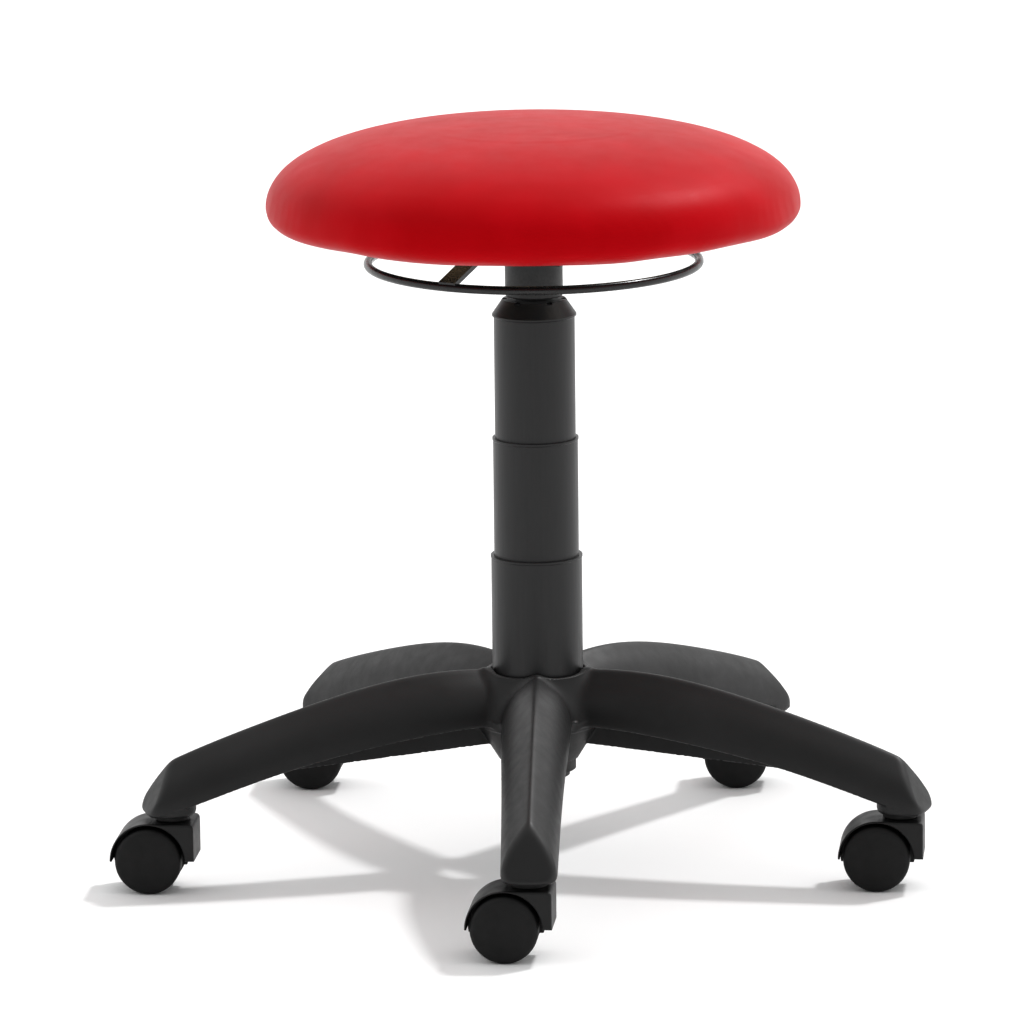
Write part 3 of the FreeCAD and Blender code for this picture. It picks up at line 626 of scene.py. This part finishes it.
def copy_at(first, name, place):
    """Another object that shares the first one's mesh."""
    piece = bpy.data.objects.new(name, first.data)
    bpy.context.scene.collection.objects.link(piece)
    piece.matrix_world = place
    return piece


def wheel_profile():
    """Half section of a castor wheel about its axle: hollow back, rounded tread, slightly domed face."""
    tread, bore, boss, rim = WHEEL_RADIUS, 3.06, 7, 21
    back, front, dome, hollow, socket = 8.2, 24.0, 1.5, 9, 3.4
    corner, shoulder = 0.8, 4.6
    profile = [(bore, back), (boss, back), (boss, back + hollow), (rim, back + hollow),
               (rim + 0.6, back), (tread - corner, back)]
    for a in np.linspace(0.3, math.pi / 2, 5):
        profile.append((tread - corner + corner * math.sin(a), back + corner - corner * math.cos(a)))
    for a in np.linspace(0, 1.35, 12):
        profile.append((tread - shoulder + shoulder * math.cos(a),
                        front - dome - shoulder + shoulder * math.sin(a)))
    edge_radius, edge_height = profile[-1]
    for share in np.linspace(1, 0, 10)[1:]:
        profile.append((edge_radius * share, edge_height + (front - edge_height) * (1 - share ** 2)))
    return profile + [(0, front - socket), (bore, front - socket)]


def castors():
    """Hoods and wheels at the five stems; all hoods share one mesh, and so do all wheels."""
    low, high = np.array((-48.0, -22.0, 16.0)), np.array((20.0, 22.0, 56.0))
    hood = surface_net("hood_moulding", hood_field, low, high, step=0.8)
    wheel = lathe("wheel_moulding", wheel_profile(), segments=96)
    hood.data.materials.append(MATERIALS["castor_nylon"])
    wheel.data.materials.append(MATERIALS["wheel_nylon"])
    axle = Matrix.Translation(Vector((-CASTOR_TRAIL, 0, WHEEL_RADIUS)) * MM)
    for number in range(1, LEGS + 1):
        name = "castor_%d" % number
        place = castor_place(number)
        piece = copy_at(hood, name + "_hood_moulding", place)
        add_piece(piece, name, MATERIALS["castor_nylon"], "castor_nylon", name + "_hood")
        for side, lean in (("near", math.pi / 2), ("far", -math.pi / 2)):
            piece = copy_at(wheel, "%s_%s_wheel" % (name, side), place @ axle @ Matrix.Rotation(lean, 4, "X"))
            body = "%s_%s" % (name, side)
            add_piece(piece, body, MATERIALS["wheel_nylon"], "wheel_nylon", "%s_wheel_%s" % (name, side))
    bpy.data.objects.remove(hood)
    bpy.data.objects.remove(wheel)


# ---------------------------------------------------------------- seat

def seat_profile(radius, base, top, rim, tuck_radius, count=48):
    """Half outline of the padded seat: flat underside, tucked lower curve, crowned top."""
    points = [(0.0, base), (tuck_radius * 0.5, base)]
    tuck_power, crown_power = 2 / 2.07, 2 / 2.43
    for a in np.linspace(0, math.pi / 2, count // 2):
        points.append((tuck_radius + (radius - tuck_radius) * math.sin(a) ** tuck_power,
                       rim - (rim - base) * math.cos(a) ** tuck_power))
    for a in np.linspace(0, math.pi / 2, count)[1:-1]:
        points.append((radius * math.cos(a) ** crown_power, rim + (top - rim) * math.sin(a) ** crown_power))
    points.append((0.0, top))
    return points


def inflate(piece, cap, pressure=4.0, frames=20):
    """Voxel remesh, a short cloth run under pressure that moves no point past cap (metres), and smoothing."""
    remesh = piece.modifiers.new("remesh", "REMESH")
    remesh.mode = "VOXEL"
    remesh.voxel_size = 0.005
    remesh.use_smooth_shade = True
    apply_modifiers(piece)
    start = vertex_places(piece)
    cloth = piece.modifiers.new("cloth", "CLOTH")
    cloth.settings.use_pressure = True
    cloth.settings.uniform_pressure_force = pressure
    cloth.settings.effector_weights.gravity = 0
    cloth.settings.tension_stiffness = 40
    cloth.settings.compression_stiffness = 40
    cloth.settings.shear_stiffness = 20
    cloth.settings.bending_stiffness = 2.0
    cloth.settings.quality = 6
    scene = bpy.context.scene
    cloth.point_cache.frame_start, cloth.point_cache.frame_end = 1, frames
    for number in range(1, frames + 1):
        scene.frame_set(number)
    apply_modifiers(piece)
    move = vertex_places(piece) - start
    length = np.linalg.norm(move, axis=1)
    move *= np.minimum(1, cap / np.maximum(length, 1e-9))[:, None]
    move_vertices(piece, start + move)
    scene.frame_set(1)
    taut = piece.modifiers.new("taut", "SMOOTH")
    taut.factor, taut.iterations = 0.5, 60
    apply_modifiers(piece)


def seat_cover():
    """The vinyl cover over its foam, inflated by cloth and brought to its real section, and its hem."""
    low, high = node_box("seat_cover")
    _, board_high = node_box("seat_board")
    radius, base, top, board_radius = high[0], low[2], high[2], board_high[0]
    rim_share, tuck, hem_inner = 0.187, board_radius - 2, 138
    rim = base + (top - base) * rim_share
    slack = 4.0
    piece = lathe("seat_vinyl", seat_profile(radius - slack, base, top - slack, rim, tuck), segments=160)
    inflate(piece, cap=0.007)
    fit_seat(piece, seat_profile(radius, base, top, rim, tuck), rim, board_radius)
    detail = piece.modifiers.new("detail", "SUBSURF")
    detail.levels = detail.render_levels = 1
    apply_modifiers(piece)
    shade_smooth(piece.data)
    add_piece(piece, "seat_lift", MATERIALS["red_vinyl"], "red_vinyl", "seat_cover", "seat_foam")
    add_piece(seat_hem(hem_inner, board_radius - 1, base), "seat_lift", MATERIALS["red_vinyl"], "red_vinyl")


def seat_hem(inner, outer, base):
    """The vinyl's edge stapled under the board: a thin ring, gathered in small radial pleats."""

    def place(side, share, angle):
        pleat = (math.sin(72 * angle) + 0.6 * math.sin(41 * angle + 2)) * (1 - share) ** 0.7
        edge = 1.2 * math.sin(23 * angle) * (1 - share)
        drop = 0.35 + 0.22 * pleat
        return inner + edge + (outer - inner) * share, base + 0.4 - drop if side == 0 else base + 2.6

    return ring_sheet("seat_hem", 8, 720, place)


def fit_seat(piece, profile, rim, board_radius):
    """Bring the inflated form's average section to the seat's own, and its underside flat onto the board."""
    base, radius = profile[0][1], max(reach for reach, _ in profile)
    ring, slots, fewest, unevenness_kept = 110.0, 120, 60, 0.5

    def polar(reach, height):
        """Angle and distance from the middle of the padding's section."""
        return np.arctan2(height - rim, reach - ring), np.hypot(reach - ring, height - rim)

    points = vertex_places(piece) / MM
    reach, height = np.hypot(points[:, 0], points[:, 1]), points[:, 2]
    wanted_angle, wanted = polar(*np.array(profile).T)
    angle, distance = polar(reach, height)

    # The mean distance in each slot of angle, where there are enough points.
    steps = np.linspace(angle.min(), angle.max(), slots + 1)
    slot = np.clip(np.digitize(angle, steps) - 1, 0, slots - 1)
    count = np.bincount(slot, minlength=slots)
    mean = np.bincount(slot, distance, minlength=slots) / np.maximum(count, 1)
    full = count > fewest
    middle, mean = ((steps[1:] + steps[:-1]) / 2)[full], mean[full]

    # Near the axis only heights are scaled, and all of the unevenness stays.
    outer_from, outer_over = 0.55, 0.2
    outside = np.clip((reach / radius - outer_from) / outer_over, 0, 1)
    scale = np.interp(angle, middle, np.interp(middle, wanted_angle, wanted) / mean)
    uneven = distance / np.interp(angle, middle, mean) - 1
    ratio = scale * (1 - outside * (1 - unevenness_kept) * uneven / (1 + uneven))
    points[:, 2] = rim + (height - rim) * ratio
    points[:, :2] *= (1 + outside * (reach - ring) * (ratio - 1) / np.maximum(reach, 1))[:, None]

    # Under the board the cover is flat, and inside its hem it is raised towards the board.
    flat_margin, flat_over, hem_in, hem_up = 6, 14, 2, 2.2
    reach = np.hypot(points[:, 0], points[:, 1])
    flat = np.clip((board_radius + flat_margin - reach) / flat_over, 0, 1)
    flat = flat * flat * (3 - 2 * flat)
    under = points[:, 2] < rim
    points[under, 2] = np.maximum(points[under, 2], base)
    points[under, 2] += (base - points[under, 2]) * flat[under]
    points[(reach < board_radius - hem_in) & under, 2] = base + hem_up
    move_vertices(piece, points * MM)
    piece.data.update()


def dust_cloth():
    """Thin cloth ring under the board that sags a little between its staples."""
    low, high = node_box("dust_cloth")
    inner, outer, base, thick, sag = 108.0, high[0], low[2], 0.4, 1.1

    def place(side, share, angle):
        waves = 1 + 0.35 * math.sin(24 * angle) + 0.3 * math.sin(7 * angle + 1)
        return inner + (outer - inner) * share, base - sag * math.sin(math.pi * share) * waves + thick * side

    piece = ring_sheet("dust_cloth_sheet", 14, 240, place)
    return add_piece(piece, "seat_lift", MATERIALS["dust_cloth"], "dust_cloth", "dust_cloth")


# ---------------------------------------------------------------- stage, lights and camera

FRONT_LEVEL, SIDE_LEVEL = 0.4, 1.05
KEY_POWER = 1.5
KEY_FROM = (0.47, 0.38, 0.80)


def stage():
    """A plain pale floor that runs out of sight."""
    bpy.ops.mesh.primitive_plane_add(size=60)
    floor = bpy.context.object
    floor.name = "floor"
    s = Shader("pale_floor", (0.86, 0.86, 0.86), 0.8, specular=0.1)
    s.drive("Base Color", s.mixed(s.noise(3, 2), (0.85, 0.85, 0.85), (0.87, 0.87, 0.87)))
    floor.data.materials.append(s.material)


def surround():
    """A pale studio: bright to the sides, above and behind, darker where the camera stands."""
    world = bpy.data.worlds.new("pale_studio")
    world.use_nodes = True
    nodes, links = world.node_tree.nodes, world.node_tree.links
    background = nodes["Background"]
    split = nodes.new("ShaderNodeSeparateXYZ")
    links.new(nodes.new("ShaderNodeTexCoord").outputs["Generated"], split.inputs[0])
    levels = nodes.new("ShaderNodeMapRange")
    levels.interpolation_type = "SMOOTHSTEP"
    spread = {"From Min": -1.0, "From Max": 0.1, "To Min": FRONT_LEVEL, "To Max": SIDE_LEVEL}
    for key, value in spread.items():
        levels.inputs[key].default_value = value
    links.new(split.outputs["Y"], levels.inputs["Value"])
    links.new(levels.outputs["Result"], background.inputs["Strength"])
    background.inputs["Color"].default_value = (1, 1, 1, 1)
    bpy.context.scene.world = world


def lights():
    """One soft key from high on the right, slightly behind; only the base and castors cast shadows in it."""
    data = bpy.data.lights.new("key", "SUN")
    data.energy = KEY_POWER
    data.angle = math.radians(6)
    lamp = bpy.data.objects.new("key", data)
    bpy.context.scene.collection.objects.link(lamp)
    lamp.rotation_euler = Vector(KEY_FROM).to_track_quat("Z", "Y").to_euler()
    casters = bpy.data.collections.new("floor_shadow")
    for piece in list(bpy.context.scene.objects):
        if piece.type == "MESH" and piece.name.startswith(("star_base_moulding", "castor_")):
            casters.objects.link(piece)
    lamp.light_linking.blocker_collection = casters


def camera():
    """A long lens looking slightly down at the stool, close to its front leg."""
    turn, tilt, roll = math.radians(1.736), math.radians(11.877), -0.0109
    distance, aim_right, aim_up = 5.427, -0.0183, 0.2696
    forward = Vector((-math.sin(turn) * math.cos(tilt), math.cos(turn) * math.cos(tilt), -math.sin(tilt)))
    right = Vector((math.cos(turn), math.sin(turn), 0))
    up = right.cross(forward)
    data = bpy.data.cameras.new("camera")
    data.lens = 252.3
    data.sensor_width = 36
    data.clip_end = 60
    eye = bpy.data.objects.new("camera", data)
    bpy.context.scene.collection.objects.link(eye)
    basis = Matrix((right, up, -forward)).transposed().to_4x4()
    place = right * aim_right + Vector((0, 0, aim_up)) - forward * distance
    eye.matrix_world = Matrix.Translation(place) @ basis @ Matrix.Rotation(roll, 4, "Z")
    bpy.context.scene.camera = eye


# ---------------------------------------------------------------- build

finish_cad_nodes()
star_base()
castors()
seat_cover()
dust_cloth()
stage()
surround()
lights()
camera()
bpy.context.scene.view_settings.view_transform = "Standard"
bpy.context.scene.view_settings.look = "Medium High Contrast"
